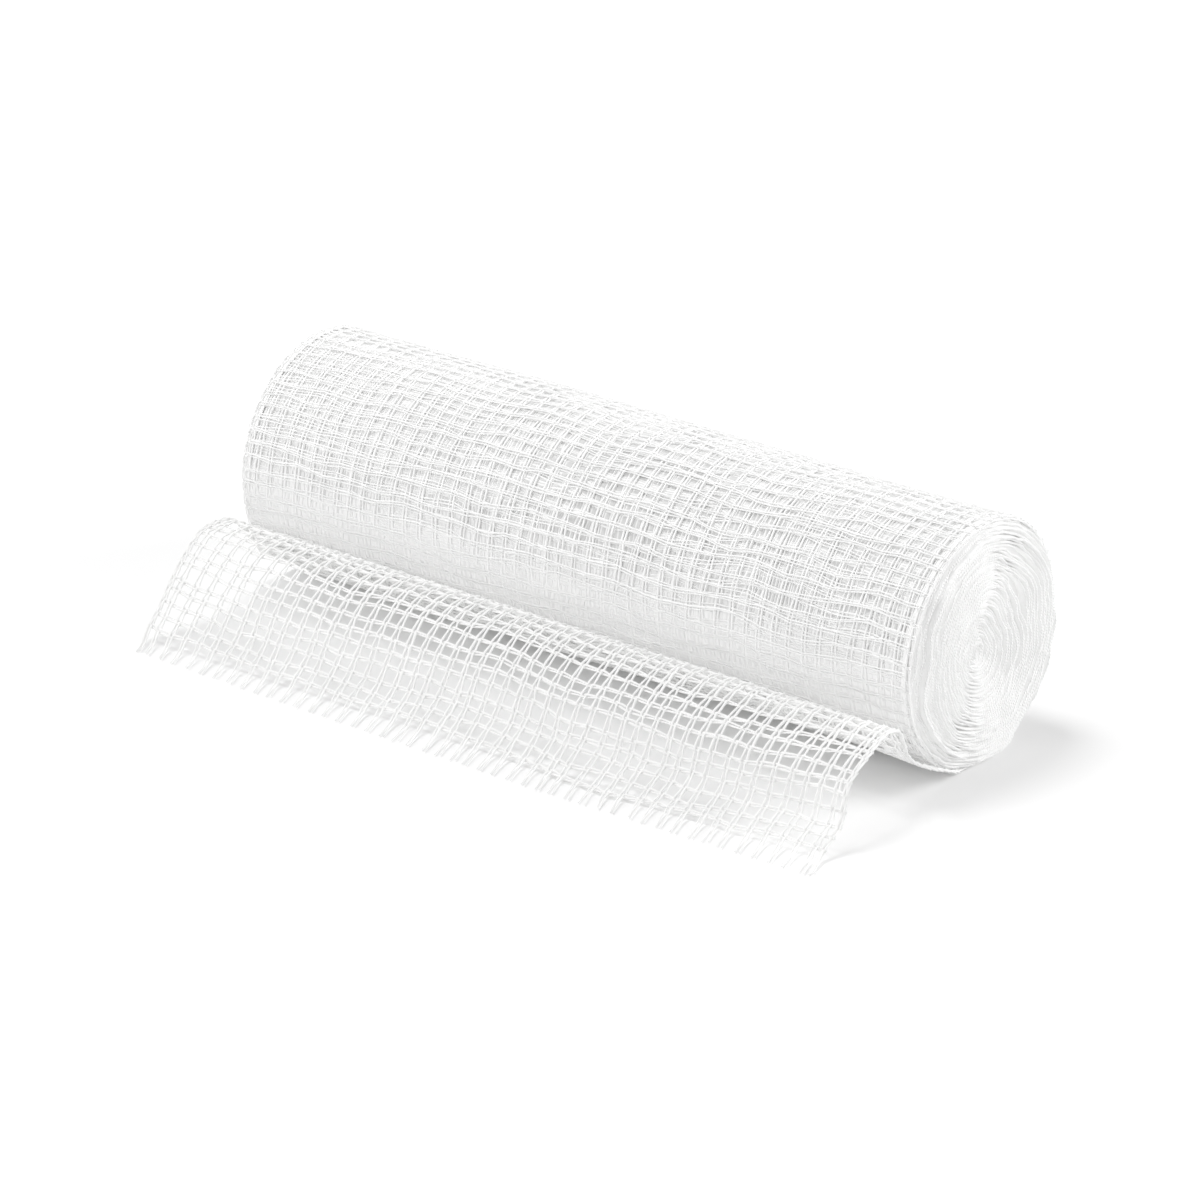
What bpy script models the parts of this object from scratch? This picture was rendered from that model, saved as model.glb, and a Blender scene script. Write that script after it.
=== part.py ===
"""Gauze bandage roll: one cut strip of open cotton gauze, wound up and lying on a small flat spot.

The strip is one open surface, the face that looks out of the roll, thickened inwards. Each turn here
stands for about a dozen of the real ones. The outermost turn leaves the roll low at the front, rises
in a hump and comes down to a straight cut edge on the surface.

+X runs along the roll's axis, -Y towards the loose end, +Z up. The origin is on the surface, at the
middle of the flat spot under the roll.
"""

import math
from collections import namedtuple

import bmesh
import bpy
import numpy as np

MM = 0.001

# Driving sizes, in millimetres and degrees.
WIDTH = 100.0  # selvedge to selvedge
ROLL_RADIUS = 15.15
AXIS_HEIGHT = 14.85  # lower than the radius, which gives the flat spot
REST_DEPTH = 12.0  # how far up into the roll its own weight presses the turns
TURN_GAP = 0.55  # between one turn and the next
LOOSE_THICKNESS = 1.0
BAND_THICKNESS = 2.0  # of a turn inside the roll
BAND_TO_BACK = 0.3  # the outer turn is thicker at the back than at the front
BAND_TO_SIDES = 0.4  # and thinner on top and below
CORE_RADIUS = 2.7  # where the winding starts
CORE_THICKNESS = 1.4
THIN_RADIUS = 4.7  # the turns inside this are no thicker than that
CORE_SHIFT_Y = -0.4  # the first turns lie off centre, down and to the front
CORE_SHIFT_Z = -0.4
CORE_OVAL = 0.02  # and are a little taller than wide
FRONT_DIP_START = 290.0  # where the outer turn starts to sink under its own loose end
FRONT_DIP_END = 348.0
TAPER_END = 100.0  # where the outer turn has its full thickness
LEAVE_RIGHT = 28.0  # how far past the lowest point the loose end leaves the roll
LEAVE_LEFT = 38.0
RIPPLE = 0.11  # unevenness of the turns
EDGE_SLIP = 0.45  # how far the turns' edges stand back from the widest
EDGE_SLIPS = 3.4  # how often they do along the strip
SELVEDGE_WAVE = 0.25
SELVEDGE_WAVES = 9.0
CUT_BOW = 1.6  # the middle of the cut edge lies further out than its corners
CUT_WAVE = 0.2
CUT_WAVES = 1.4  # how many of them fit across the strip
RIM_ROUND = 0.3

# Steps of the mesh.
CHORD_DEPTH = 0.06  # how far a turn's flat faces may lie inside its curve
LOOSE_STEPS = 34
WIDTH_STEPS = 10
SPLINE_STEPS = 12

COTTON_COLOUR = (0.91, 0.91, 0.90, 1.0)
COTTON_ROUGHNESS = 0.85

# The underside of the loose end at its two selvedges, from the roll to the cut edge.
Section = namedtuple("Section", "place left_y left_z right_y right_z")
LOOSE_END = (
    Section("low ramp", -12.0, 4.9, -12.4, 3.9),
    Section("mid ramp", -14.1, 7.1, -15.5, 6.1),
    Section("high ramp", -15.9, 9.2, -17.2, 8.7),
    Section("crest back", -17.6, 10.3, -18.6, 10.6),
    Section("crest", -19.9, 10.6, -20.2, 10.9),
    Section("shoulder", -22.1, 10.1, -22.3, 10.0),
    Section("high slope", -24.3, 8.5, -25.0, 8.8),
    Section("knee", -26.2, 6.8, -26.9, 7.2),
    Section("mid slope", -28.3, 4.7, -27.7, 5.0),
    Section("low slope", -30.3, 2.5, -28.8, 2.6),
    Section("foot", -31.9, 1.0, -30.9, 1.0),
    Section("toe", -33.3, 0.0, -33.1, 0.0),
    Section("cut edge", -34.9, 0.0, -35.1, 0.0),
)


def clear_scene():
    for obj in list(bpy.data.objects):
        bpy.data.objects.remove(obj, do_unlink=True)


def cotton_material():
    material = bpy.data.materials.new("cotton_gauze")
    material.use_nodes = True
    shader = material.node_tree.nodes["Principled BSDF"]
    shader.inputs["Base Color"].default_value = COTTON_COLOUR
    shader.inputs["Roughness"].default_value = COTTON_ROUGHNESS
    shader.inputs["Metallic"].default_value = 0.0
    return material


def ease(value, start, end):
    """0 before start, 1 after end and smooth between."""
    part = min(max((value - start) / (end - start), 0.0), 1.0)
    return part * part * (3.0 - 2.0 * part)


def direction(wind):
    """The angle in the YZ plane, from +Y towards +Z, of a point that many degrees before the loose end."""
    return math.radians(wind - 90.0 - LEAVE_RIGHT)


def thickness(wind):
    """Of the strip, growing from the loose end into the roll and ending thin in the core."""
    angle = direction(wind)
    uneven = BAND_TO_BACK * math.cos(angle) + BAND_TO_SIDES * math.cos(2.0 * angle)
    band = BAND_THICKNESS + uneven * (1.0 - ease(wind, FRONT_DIP_START, 360.0))
    return LOOSE_THICKNESS + (band - LOOSE_THICKNESS) * ease(wind, 0.0, TAPER_END)


def winding_radius(wind):
    """Of the strip's outer face, turn under turn."""
    if wind < 360.0:
        dip = (LOOSE_THICKNESS + TURN_GAP) * ease(wind, FRONT_DIP_START, FRONT_DIP_END)
        return ROLL_RADIUS - dip
    outer = wind - 360.0
    return winding_radius(outer) - thickness(outer) - TURN_GAP


def ripple(x, angle):
    """The same in every turn, so the turns keep their gap."""
    along = 2.0 * math.pi * x / WIDTH
    long_wave = math.sin(1.3 * along + 2.0 * angle + 0.6)
    short_wave = math.sin(2.7 * along - 3.0 * angle + 1.9)
    return RIPPLE * (0.65 * long_wave + 0.35 * short_wave)


def wound_point(wind, x):
    """Y and Z of the outer face at one place of the winding."""
    angle = direction(wind)
    radius = winding_radius(wind)
    inward = 1.0 - (radius / ROLL_RADIUS) ** 2
    radius += ripple(x, angle)
    y = radius * math.cos(angle) * (1.0 - CORE_OVAL * inward) + CORE_SHIFT_Y * inward
    z = radius * math.sin(angle) * (1.0 + CORE_OVAL * inward) + CORE_SHIFT_Z * inward
    lowest = AXIS_HEIGHT + (ROLL_RADIUS + ripple(x, angle)) * math.sin(angle)
    pressed = max(0.0, -lowest)
    depth = ROLL_RADIUS - winding_radius(wind)
    z += AXIS_HEIGHT + pressed * max(0.0, 1.0 - depth / REST_DEPTH)
    return y, z


def wound_places():
    """Degrees before the loose end, from the core outwards."""
    places = [0.0]
    while winding_radius(places[-1]) > CORE_RADIUS:
        step = math.sqrt(8.0 * CHORD_DEPTH / winding_radius(places[-1]))
        places.append(places[-1] + math.degrees(step))
    return places[::-1]


def smooth_curve(points, count):
    """That many points, evenly spaced, on a Catmull-Rom curve through the given ones."""
    points = np.array(points)
    first = [2 * points[0] - points[1]]
    last = [2 * points[-1] - points[-2]]
    control = np.concatenate([first, points, last])
    part = np.linspace(0.0, 1.0, SPLINE_STEPS, endpoint=False)[:, None]
    pieces = []
    for before, start, end, after in zip(control, control[1:], control[2:], control[3:]):
        bend = 2 * before - 5 * start + 4 * end - after
        twist = 3 * (start - end) + after - before
        pieces.append(start + 0.5 * part * (end - before + part * (bend + part * twist)))
    fine = np.concatenate(pieces + [points[-1:]])
    run = np.concatenate([[0.0], np.cumsum(np.linalg.norm(np.diff(fine, axis=0), axis=1))])
    even = np.linspace(0.0, run[-1], count)
    return np.stack([np.interp(even, run, fine[:, axis]) for axis in range(2)], axis=1)


def strip_points(x):
    """Y, Z and thickness of the strip's outer face in one plane across its width."""
    right = x / WIDTH + 0.5
    leave = (LEAVE_LEFT - LEAVE_RIGHT) * (1.0 - right)
    rows = []
    for wind in wound_places():
        # The last stretch is carried on to where the loose end leaves at this x.
        place = wind - leave * ease(TAPER_END - wind, 0.0, TAPER_END)
        thick = thickness(place)
        if winding_radius(place) < THIN_RADIUS:
            thick = min(thick, CORE_THICKNESS)
        rows.append((*wound_point(place, x), thick))
    guide = [rows[-1][:2]]
    for section in LOOSE_END:
        y = section.left_y + (section.right_y - section.left_y) * right
        z = section.left_z + (section.right_z - section.left_z) * right
        guide.append((y, z))
    bow = CUT_BOW * math.cos(math.pi * x / WIDTH)
    wave = CUT_WAVE * math.sin(2.0 * math.pi * CUT_WAVES * x / WIDTH)
    guide[-1] = (guide[-1][0] - bow - wave, guide[-1][1])
    loose = smooth_curve(guide, LOOSE_STEPS + 1)[1:]
    rows += [(y, max(z, 0.0), LOOSE_THICKNESS) for y, z in loose]
    return rows


def edge_factor(row, rows):
    """How far the strip's edge stands back there, as a share of half its width."""
    part = row / (rows - 1)
    slip = EDGE_SLIP * (0.5 - 0.5 * math.cos(2.0 * math.pi * EDGE_SLIPS * part))
    wave = SELVEDGE_WAVE * (0.5 + 0.5 * math.sin(2.0 * math.pi * SELVEDGE_WAVES * part))
    return 1.0 - (slip + wave) * 2.0 / WIDTH


def strip_object(collection):
    stations = np.linspace(-WIDTH / 2, WIDTH / 2, WIDTH_STEPS + 1)
    columns = [strip_points(x) for x in stations]
    rows = len(columns[0])
    thickest = max(thick for column in columns for _, _, thick in column)
    mesh = bpy.data.meshes.new("gauze_strip")
    obj = bpy.data.objects.new("gauze_strip", mesh)
    collection.objects.link(obj)
    group = obj.vertex_groups.new(name="thickness")
    shape = bmesh.new()
    weights = shape.verts.layers.deform.verify()
    grid = []
    for x, column in zip(stations, columns):
        line = []
        for row, (y, z, thick) in enumerate(column):
            vert = shape.verts.new((x * edge_factor(row, rows) * MM, y * MM, z * MM))
            vert[weights][group.index] = thick / thickest
            line.append(vert)
        grid.append(line)
    for line, beside in zip(grid, grid[1:]):
        for row in range(rows - 1):
            shape.faces.new((line[row], beside[row], beside[row + 1], line[row + 1]))
    shape.to_mesh(mesh)
    shape.free()
    mesh.shade_smooth()

    solidify = obj.modifiers.new("thickness", "SOLIDIFY")
    solidify.thickness = thickest * MM
    solidify.offset = -1.0
    solidify.vertex_group = group.name
    solidify.use_even_offset = True
    bevel = obj.modifiers.new("rims", "BEVEL")
    bevel.width = RIM_ROUND * MM
    bevel.segments = 1
    bevel.limit_method = "ANGLE"
    bevel.angle_limit = math.radians(55.0)
    return obj


def main():
    clear_scene()
    collection = bpy.data.collections.new("gauze_bandage_roll")
    bpy.context.scene.collection.children.link(collection)
    strip = strip_object(collection)
    strip.data.materials.append(cotton_material())


main()
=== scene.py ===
"""Looks of the gauze bandage roll: every thread of its two outermost turns and of its loose end,
the wound turns seen at both ends, the cotton, the floor, the light and the camera.

The roll's lengths are in millimetres until a mesh is made. x runs along its axis and s along the
cloth, from the cut edge up over the loose end and then round the roll, turn under turn.
Angles round the roll are in degrees from +Y towards +Z.
"""

import math
from collections import namedtuple

import bpy
import numpy as np
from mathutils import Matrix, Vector


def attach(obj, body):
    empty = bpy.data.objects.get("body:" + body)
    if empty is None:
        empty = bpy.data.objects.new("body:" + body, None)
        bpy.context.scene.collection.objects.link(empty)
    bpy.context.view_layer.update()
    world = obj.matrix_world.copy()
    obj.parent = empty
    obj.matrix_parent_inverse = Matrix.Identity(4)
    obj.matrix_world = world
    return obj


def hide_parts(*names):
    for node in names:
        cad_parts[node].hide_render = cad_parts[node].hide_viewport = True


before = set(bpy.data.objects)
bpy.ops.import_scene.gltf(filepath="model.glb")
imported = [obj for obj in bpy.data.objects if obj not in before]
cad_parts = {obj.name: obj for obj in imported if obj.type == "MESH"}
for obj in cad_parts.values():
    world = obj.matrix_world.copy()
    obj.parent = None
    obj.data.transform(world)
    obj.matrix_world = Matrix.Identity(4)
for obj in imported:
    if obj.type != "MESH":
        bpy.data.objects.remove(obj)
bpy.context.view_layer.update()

MM = 0.001
TINY = 1e-9  # keeps a length that divides from being 0
NODE = "gauze_strip"

# The roll and the way its cloth runs.
HALF_WIDTH = 50.0
WIDTH = 2.0 * HALF_WIDTH
ROLL_RADIUS = 15.08  # middle of the outermost layer
AXIS_HEIGHT = 14.95
LAYER_STEP = 0.18  # from one layer to the one under it
REST_HEIGHT = 0.22  # middle of the lowest layer above the floor
LEAVE_RIGHT = 28.0  # degrees past the lowest point, where the loose end leaves the roll
LEAVE_LEFT = 54.0
LEAVE_BEND = 2.2  # most of the change is near the right-hand selvedge
RIPPLE = 0.11  # unevenness of the whole roll, in a long and a short wave
LONG_RIPPLE = (0.65, 1.3, 2.0, 0.6)  # share, waves along the roll, waves round it and phase
SHORT_RIPPLE = (0.35, 2.7, -3.0, 1.9)
TURNS_SHOWN = 2
SPARE_WIND = 30.0  # degrees of cloth past those turns
CUT_BOW = 1.6  # the middle of the cut edge lies further out than its corners
CUT_WAVE = 0.2
CUT_WAVES = 1.4  # how many of them fit across the cloth
CUT_SHARE = 0.6  # how much of both the outermost sections take
CURVE_STEP = 0.05  # of the curve between two sections
CURVE_GUIDE = 4  # degrees round the roll to the point that guides the curve onto it

# The closed surface under the turns shown.
BODY_DEPTH = 0.29  # how far under the threads it is
TIGHT_DEPTH = 0.04  # and low at the front, where the turns are drawn tight
TIGHT_ANGLES = (160.0, 190.0, 245.0, 265.0)  # that begins, is full, is full until, ends
BODY_ANGLE = 3.0  # degrees between its lines
BODY_STATIONS = 60
BODY_RIM = 0.6  # width of its slanting rim at both ends
BODY_ROUND = 0.5  # and how far that goes in
# Its holes' painted shade is hidden where the turns are tight, and partly on top and towards the
# left-hand end, which this paints lighter.
WHITE_ANGLES = (150.0, 178.0, 197.0, 214.0)
WHITE_FRONT = 0.85
WHITE_BELOW = 0.35  # as a share of that
WHITE_TOP_ANGLES = (118.0, 85.0)
WHITE_TOP = 0.45
WHITE_END_PLACES = (5.0, -50.0)
WHITE_END = 0.55

# The weave.
WARP_PAIRS = 46
WARP_SPAN = 48.3  # the outermost pair on each side
SELVEDGE_THREADS = (49.40, 49.63, 49.86)  # tighter threads outside it
WARP_PITCH = 2.0 * WARP_SPAN / (WARP_PAIRS - 1)
WARP_GAP = 0.58  # between the two threads of a pair
WEFT_PITCH = 1.66
WEFT_GAP = 0.31
FRINGE = 5.15  # bare warp ends past the last weft
WARP_RADIUS = 0.154
WEFT_RADIUS = 0.142
WOUND_WARP = 0.81  # how thick the warps are in the wound turns, beside those of the loose end
WOUND_WEFT = 0.585
WOUND_PAIR = 0.86  # how far apart the two threads of a pair lie there
WOUND_CRIMP = 0.55  # how much of the crimp is left there
WOUND_LIFT = 1.7  # and how much further out the warps lie
THREAD_FLATNESS = 0.74  # how high a thread is for its width
CRIMP = 0.09
WARP_DRIFT = 0.26  # how far the threads leave their straight lines, all together,
WEFT_DRIFT = 0.44
WARP_PAIR_SHARE = 0.45  # each pair on its own, as a share of that,
WEFT_PAIR_SHARE = 0.5
PAIR_STRAY = 0.18  # each pair over a shorter way
THREAD_STRAY = 0.06  # and each thread
STEADY_EDGE = 6.0  # the warps this near a selvedge leave theirs less
LOOP_REACH = 0.08  # how far a weft's turn stands out of the selvedge
LOOP_PARTS = ((0.7, 0.12), (1.0, 0.55), (1.0, 1.0))  # share of the reach, share of the way round
LOOP_CRIMP = 0.5
WARP_LIFT = 0.05  # the warps lie on the outside, the wefts under them
WOUND_FROM = -3.0  # where the wound turns' look begins, from where the cloth leaves the roll
WOUND_FULL = 6.0
OUTER_INSET = 1.9  # how far the outermost turn's selvedges stand back from the ends
INSET_STEP = 0.5  # and how much less each turn under it does
INSET_LENGTH = 16.0  # over which the cloth narrows to that

# Uneven lays. Threads that are APART in a wave set stray on their own.
WAVES_SPREAD = 1.4  # divides waves of mean square 1, so that most of them keep within -1 and 1
WaveSet = namedtuple("WaveSet", "seed count longest shortest")
WARP_SWAY = WaveSet(11, 9, 60.0, 12.0)
WEFT_SWAY = WaveSet(12, 9, 70.0, 14.0)
WEFT_WANDER = WaveSet(13, 10, 9.0, 3.0)
WARP_WANDER = WaveSet(14, 10, 9.0, 3.0)
PAIR_WANDER = WaveSet(15, 10, 15.0, 5.0)
APART = 40.0
WARP_PAIR_PLACE = 7.0  # where the pairs' own sway is read, away from the cloth's
WEFT_PAIR_PLACE = 3.0
WARP_STRAY_PLACE = 90.0

# The yarn swells and thins along its length, with thicker places now and then.
SWELL_WAVES = (12, 30.0, 2.5)  # count, longest and shortest
SWELL = 0.13
SLUB = 0.10
SLUB_FROM = 0.7
YARN_APART = 37.0
YARN_STEP = 0.5
WARP_YARN_SEED = 41
WEFT_YARN_SEED = 71

# The bare warp ends at the cut edge.
FRINGE_SEED = 31
TIP_PLACE = (1.0, 0.06)  # s of their tips, and its spread
SHORT_TIP = 0.4  # some are shorter by that
SHORT_TIPS = 0.10  # the share of those
LEAN = (1.35, 0.09)  # how far they lean towards the right, and its spread
LEAN_BEND = 1.3
FRINGE_PARTS = ((0.3, 0.82), (0.6, 0.70), (0.85, 0.64), (1.0, 0.52))  # how far out, how thick

# Where the pieces of cloth end, the sides of their threads and the rings put between two threads.
LOOSE_MORE = 1.0  # past where the cloth leaves the roll
TURN_MORE = 4.0  # past once round
SECOND_LESS = 4.0  # short of twice round
SIDES = 5
SECOND_SIDES = 4
FINE = ((), (0.3, 0.7))
PLAIN = ((), (0.5,))
COARSE = ((), ())

# Cotton. Depths of bumps are in metres. The noises' scales are for each metre, or for each
# millimetre where they read a UV map.
BLUE = 0.995  # beside red and green
TWIST = 2.6  # turns of the yarn in a millimetre
PLIES = 2.0
TWIST_RELIEF = 0.30
FIBRE_SCALE = 4200.0
FIBRE_DETAIL = 3.0
FIBRE_ROUGHNESS = (0.72, 0.95)
FIBRE_DEPTH = 0.00005
FIBRE_STRENGTH = 0.55
SELVEDGE_SCALE = 1700.0  # looser fibres
SELVEDGE_DEPTH = 0.00024
PATCH_SCALE = 260.0
PATCH_DETAIL = 2.0
PATCH_RANGE = (0.30, 0.72)
SHEEN = 0.25
SHEEN_ROUGHNESS = 0.55
SPECULAR = 0.25
WOUND_LAYERS = ((0.0, 0.02, 1.0), (1.1, -0.03, 0.62))  # shift, lean and height, which also sets the colour: the lower layer's threads get painted shade
WOUND_SHIFT_ALONG = 1.7
WOUND_SWAY_SCALE = 0.09
WOUND_SWAY = 4.0
WOUND_SIDE = 0.20  # how soft the sides of its threads are, where they fade into the painted shade of the holes
# Painted shade: the holes between the threads are coloured dark for the shade deep between the
# wound layers.
WOUND_HOLE_SHADE = (0.50, 0.50, 0.497, 1.0)
WOUND_WHITE = (0.95, 0.95, 0.945, 1.0)
WOUND_DEPTH = 0.00012
WOUND_ROUGHNESS = 0.9
WOUND_SPECULAR = 0.2

# Floor, light and camera, in metres but for the lens. An azimuth runs from the front (-Y) towards
# the right (+X).
FLOOR_HALF = 3.0
FLOOR_GREY = 0.85
WORLD_STRENGTH = 0.16
Softbox = namedtuple("Softbox", "name azimuth elevation size power")
SOFTBOXES = (
    Softbox("above_left", -90.0, 75.0, 0.4, 6.0),
    Softbox("front_left", -45.0, 30.0, 0.9, 6.2),
    Softbox("back_right", 135.0, 25.0, 0.4, 5.5),
    Softbox("right", 90.0, 30.0, 1.4, 4.3),
)
CAMERA_AZIMUTH = 37.32
CAMERA_ELEVATION = 23.87
CAMERA_DISTANCE = 0.8766
CAMERA_TARGET = (-0.00619, 0.0, 0.00569)
CAMERA_LENS = 220.84
CAMERA_SENSOR = 36.0
VIEW_GAMMA = 1.6
DIFFUSE_BOUNCES = 12

# The middle of the loose end's cloth at its two selvedges.
Section = namedtuple("Section", "place left_y left_z right_y right_z")
LOOSE_END = (
    Section("longest threads", -36.5, 0.2, -37.5, 0.2),
    Section("cut edge", -34.6, 0.25, -35.2, 0.25),
    Section("toe", -33.4, 0.5, -33.0, 0.6),
    Section("foot", -32.0, 1.4, -30.9, 1.8),
    Section("low slope", -30.3, 3.0, -28.8, 3.2),
    Section("mid slope", -28.3, 5.2, -28.1, 5.2),
    Section("knee", -26.3, 7.3, -27.3, 7.5),
    Section("high slope", -24.4, 9.1, -25.2, 9.25),
    Section("shoulder", -22.2, 10.6, -22.7, 10.35),
    Section("crest", -20.1, 10.95, -20.4, 11.2),
    Section("crest back", -17.6, 10.85, -18.4, 11.1),
)
RAMP = (
    Section("high ramp", -16.1, 10.3, -17.0, 9.5),
    Section("mid ramp", -14.8, 9.3, -15.6, 6.6),
    Section("low ramp", -13.5, 7.9, -12.3, 4.2),
)

# The wound turns seen at the ends.
END_TURNS = 42
END_FIRST = 1.2  # the turns outside this one are woven
END_DEPTH = 1.3  # of the open space between the turns' edges
END_STEP = 0.44
END_FOOT = 0.5  # how far the ribbon goes on into the closed surface
SMALLEST_RADIUS = 0.8
RIBBON_HALF = 0.13
EDGE_THREAD = 0.15
EDGE_THINNEST = 0.85  # the selvedge thread bulges where a weft turns back round it
EDGE_BULGE = 0.42
EDGE_UNEVEN = 0.08
BULGE_EVERY = 0.9
BULGE_POWER = 4
BULGE_SHIFT = 9.0  # from turn to turn
CORE_TURNS = 1.5  # left out at the very middle
CORE_Y = -1.6  # the core lies off centre
CORE_Z = -0.5
CORE_OVAL = 0.09
CORE_LUMPS = 0.5
PRESSED = 0.6  # how much of their thickness the turns keep where they lie on the floor
TURN_WOBBLE = 0.08
END_BACK = 0.35  # how far the edges stand back from the ends at least
END_FRONT = 0.1  # and how far out of them at most
END_SLIP = 0.16
END_FLUTTER = 0.13
END_LUMPS = 0.35
RIM_DEPTH = 1.9  # how far back the outermost turns' edges stand
RIM_TURNS = 5.5
RIM_BEND = 1.3
RIM_FLAT = 0.75  # how much of that is missing below and at the back
RIM_FLAT_ANGLE = 300.0
RIM_FLAT_REACH = (0.2, 0.8)  # cosine of the angle away from it
GROOVE_DEPTH = 0.3  # the turns beside a crack stand back too
GROOVE_TURNS = 2.2
GROOVE_WIDTH = 0.4  # of a crack that has its full groove
GROOVE_END = 4.0  # turns by which a closed one counts as further away
NO_CRACK = 9.0  # turns away from the nearest one
LUMP_WAVES = (10, 14.0, 3.5)  # count, longest and shortest
SLIP_WAVES = (10, 30.0, 6.0)
WOBBLE_WAVES = (12, 6.0, 1.2)
FLUTTER_WAVES = (12, 5.0, 1.0)
# Where those waves are read. Turns lie far enough apart in them to differ from their neighbours.
LUMP_Z_PLACE = 40.0
WOBBLE_Z_PLACE = 300.0
WOBBLE_APART = 11.0
FLUTTER_APART = 17.0
SLIP_APART = 9.0
SLIP_ROUND = 0.6
END_LUMP_PLACE = 9.0
END_LUMP_SCALE = 0.7
UNEVEN_SCALE = 2.0

# Where the turns have come apart: after which turn, at what angle, how far round and how wide.
Crack = namedtuple("Crack", "turn middle reach width")
CRACK_FULL = 0.25  # share of its reach over which it is at its widest
RIGHT_CRACKS = (
    Crack(3.5, 210.0, 85.0, 0.45),
    Crack(3.5, 50.0, 38.0, 0.30),
    Crack(9.0, 222.0, 60.0, 0.40),
    Crack(9.0, 48.0, 28.0, 0.60),
    Crack(9.0, 10.0, 30.0, 0.30),
    Crack(9.0, 133.0, 24.0, 0.35),
    Crack(16.0, 217.0, 55.0, 0.30),
    Crack(16.0, 33.0, 27.0, 0.70),
)
LEFT_CRACKS = (
    Crack(4.5, 300.0, 80.0, 0.45),
    Crack(4.5, 120.0, 45.0, 0.30),
    Crack(11.0, 315.0, 50.0, 0.90),
    Crack(11.0, 150.0, 40.0, 0.60),
    Crack(18.0, 330.0, 40.0, 0.80),
)


def ease(value, start, end):
    """0 before start, 1 after end and smooth between."""
    part = np.clip((value - start) / (end - start), 0.0, 1.0)
    return part * part * (3.0 - 2.0 * part)


def waves(seed, count, longest, shortest):
    """A smooth uneven function of two lengths, about -1 to 1, with waves between those lengths."""
    rng = np.random.default_rng(seed)
    length = np.exp(rng.uniform(math.log(shortest), math.log(longest), count))
    heading = rng.uniform(0.0, math.tau, count)
    phase = rng.uniform(0.0, math.tau, count)
    size = length / np.sqrt((length**2).sum() / 2.0) / WAVES_SPREAD

    def value(u, v):
        total = 0.0
        for wave in range(count):
            along = u * math.cos(heading[wave]) + v * math.sin(heading[wave])
            total = total + size[wave] * np.sin(math.tau * along / length[wave] + phase[wave])
        return total

    return value


# ---------------------------------------------------------------- the cloth's surface


def ripple(x, angle):
    along = math.tau * x / WIDTH
    total = 0.0
    for share, waves_along, waves_round, phase in (LONG_RIPPLE, SHORT_RIPPLE):
        total = total + share * np.sin(waves_along * along + waves_round * angle + phase)
    return RIPPLE * total


def ramp_share(x):
    """0 at the left-hand selvedge and 1 at the right-hand one."""
    return np.maximum(x / WIDTH + 0.5, 0.0) ** LEAVE_BEND


def leave_angle(x):
    return LEAVE_LEFT + (LEAVE_RIGHT - LEAVE_LEFT) * ramp_share(x)


def roll_point(x, wind, depth):
    """Y and Z that many degrees back from where the loose end leaves, that far inside the roll."""
    angle = np.radians(wind - 90.0 - leave_angle(x))
    radius = ROLL_RADIUS - depth + ripple(x, angle)
    y = radius * np.cos(angle)
    z = AXIS_HEIGHT + radius * np.sin(angle)
    return y, np.maximum(z, REST_HEIGHT + depth)


def curve_through(points):
    """A Catmull-Rom curve through the points."""
    points = np.array(points)
    control = np.concatenate([[2 * points[0] - points[1]], points, [2 * points[-1] - points[-2]]])
    part = np.arange(0.0, 1.0, CURVE_STEP)[:, None]
    pieces = []
    for before, start, end, after in zip(control, control[1:], control[2:], control[3:]):
        bend = 2 * before - 5 * start + 4 * end - after
        twist = 3 * (start - end) + after - before
        pieces.append(start + 0.5 * part * (end - before + part * (bend + part * twist)))
    return np.concatenate(pieces + [points[-1:]])


def resampled(line, step, count):
    """The line at even steps from its start."""
    run = np.concatenate([[0.0], np.cumsum(np.linalg.norm(np.diff(line, axis=0), axis=1))])
    even = np.arange(count) * step
    return np.stack([np.interp(even, run, line[:, k]) for k in range(2)], axis=1)


def sections_at(sections, share):
    """Y and Z of each section at that share of the way from the left to the right."""
    points = []
    for section in sections:
        y = section.left_y + (section.right_y - section.left_y) * share
        z = section.left_z + (section.right_z - section.left_z) * share
        points.append((y, z))
    return points


def cloth_line(x):
    """Y and Z of the cloth in one plane across the roll, from the cut edge inwards."""
    right = x / WIDTH + 0.5
    guide = sections_at(LOOSE_END, right) + sections_at(RAMP, ramp_share(x))
    bow = CUT_BOW * math.cos(math.pi * x / WIDTH)
    wave = CUT_WAVE * math.sin(math.tau * CUT_WAVES * x / WIDTH)
    for number in range(2):
        guide[number] = (guide[number][0] - (bow + wave) * CUT_SHARE, guide[number][1])
    wind = np.arange(0.0, 360.0 * TURNS_SHOWN + SPARE_WIND, 1.0)
    depth = LAYER_STEP * wind / 360.0
    y, z = roll_point(x, wind, depth)
    wound = np.stack([y, z], axis=1)
    # One more point shows the curve which way the roll goes on. That stretch is then dropped.
    loose = curve_through(guide + [wound[0], wound[CURVE_GUIDE]])[: -int(1 / CURVE_STEP) - 1]
    return np.concatenate([loose, wound]), len(loose)


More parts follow.
